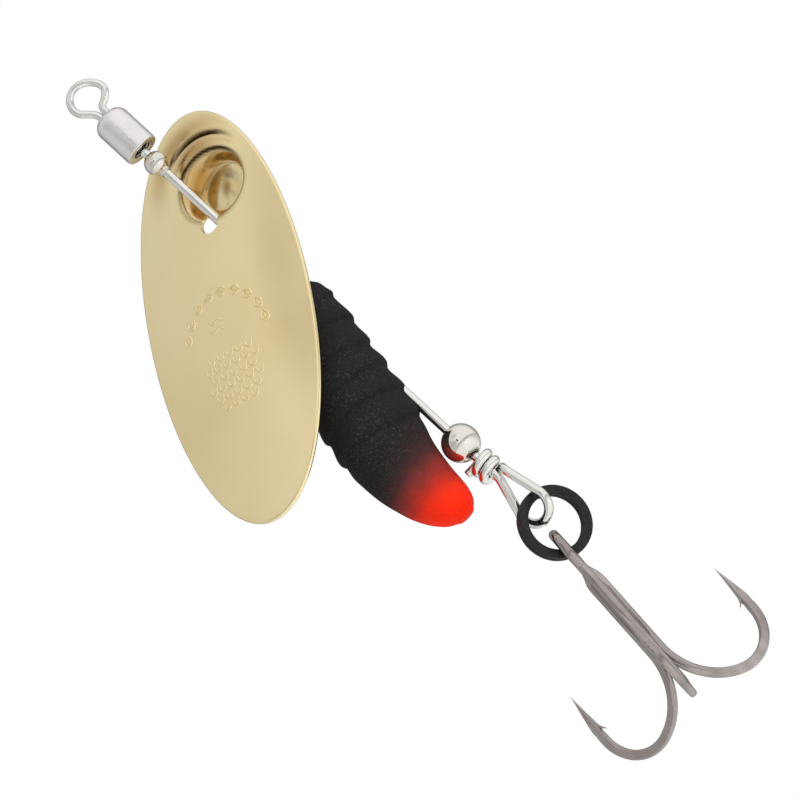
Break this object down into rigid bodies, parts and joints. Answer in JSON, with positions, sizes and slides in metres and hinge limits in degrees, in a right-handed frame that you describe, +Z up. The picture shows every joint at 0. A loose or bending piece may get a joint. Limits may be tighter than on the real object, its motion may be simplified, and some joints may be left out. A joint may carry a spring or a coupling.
{
  "type": "inline spinner",
  "caption": "Inline spinning lure: swivel line eye, straight wire shaft, dished oval blade with a pressed cup, soft grub-shaped body, bead, split ring and barbed treble hook.",
  "frame": {"origin": "centre of the line eye's loop", "axes": "+Z up along the straight shaft wire towards the line, -Y to the front where the blade's domed face looks, +X to the right seen from the front"},
  "size_m": [0.0227, 0.0141, 0.0717],
  "materials": {
    "swivel_wire": "tinned stainless wire, satin",
    "satin_nickel": "satin nickel plate",
    "steel_wire": "bright drawn stainless wire",
    "polished_nickel": "polished nickel plate",
    "brass": "bare turned brass",
    "champagne_plate": "pale gold plate, polished",
    "core_metal": "cast lead alloy, dull",
    "black_rubber": "soft matte rubber, tail dyed orange-red",
    "black_ring": "black nickel plate, satin",
    "hook_steel": "bronzed nickel over forged steel",
    "braze": "plated braze"
  },
  "bodies": {
    "line_eye": {"line_eye": "swivel_wire"},
    "barrel": {"swivel_barrel": "satin_nickel"},
    "shaft": {"shaft_wire": "steel_wire"},
    "front_bead": {"front_bead": "polished_nickel"},
    "bearing": {"bearing_bead": "brass"},
    "blade": {"blade": "champagne_plate"},
    "body": {"grub_core": "core_metal", "grub_skin": "black_rubber", "spacer_tube": "brass"},
    "rear_bead": {"rear_bead": "polished_nickel"},
    "ring": {"split_ring": "black_ring"},
    "treble": {"treble_double_hook": "hook_steel", "treble_single_hook": "hook_steel", "treble_braze": "braze"}
  },
  "joints": [
    {"name": "barrel_spin", "type": "hinge", "parent": "line_eye", "child": "barrel", "pos_m": [0, 0, -0.0023], "axis": [0, 0, 1], "continuous": true},
    {"name": "shaft_spin", "type": "hinge", "parent": "barrel", "child": "shaft", "pos_m": [0, 0, -0.00615], "axis": [0, 0, 1], "continuous": true},
    {"name": "front_bead_slide", "type": "slide", "parent": "shaft", "child": "front_bead", "axis": [0, 0, 1], "range_m": [-0.0016, 0.0004]},
    {"name": "blade_spin", "type": "hinge", "parent": "shaft", "child": "bearing", "pos_m": [0, 0, -0.0175], "axis": [0, 0, 1], "continuous": true},
    {"name": "blade_flap", "type": "hinge", "parent": "bearing", "child": "blade", "pos_m": [0, 0, -0.0147], "axis": [-0.9644, 0.2644, 0], "range_deg": [0, 25]},
    {"name": "body_spin", "type": "hinge", "parent": "shaft", "child": "body", "pos_m": [0, 0, -0.028], "axis": [0, 0, 1], "continuous": true},
    {"name": "rear_bead_slide", "type": "slide", "parent": "shaft", "child": "rear_bead", "axis": [0, 0, 1], "range_m": [0, 0.0006]},
    {"name": "ring_swing", "type": "hinge", "parent": "shaft", "child": "ring", "pos_m": [0.00063, 0.00011, -0.04863], "axis": [0.891, 0.454, 0], "range_deg": [-25, 20]},
    {"name": "hook_swing", "type": "hinge", "parent": "ring", "child": "treble", "pos_m": [0.00037, 0.00062, -0.0512], "axis": [0.4432, -0.8699, -0.2164], "range_deg": [-30, 30]}
  ]
}
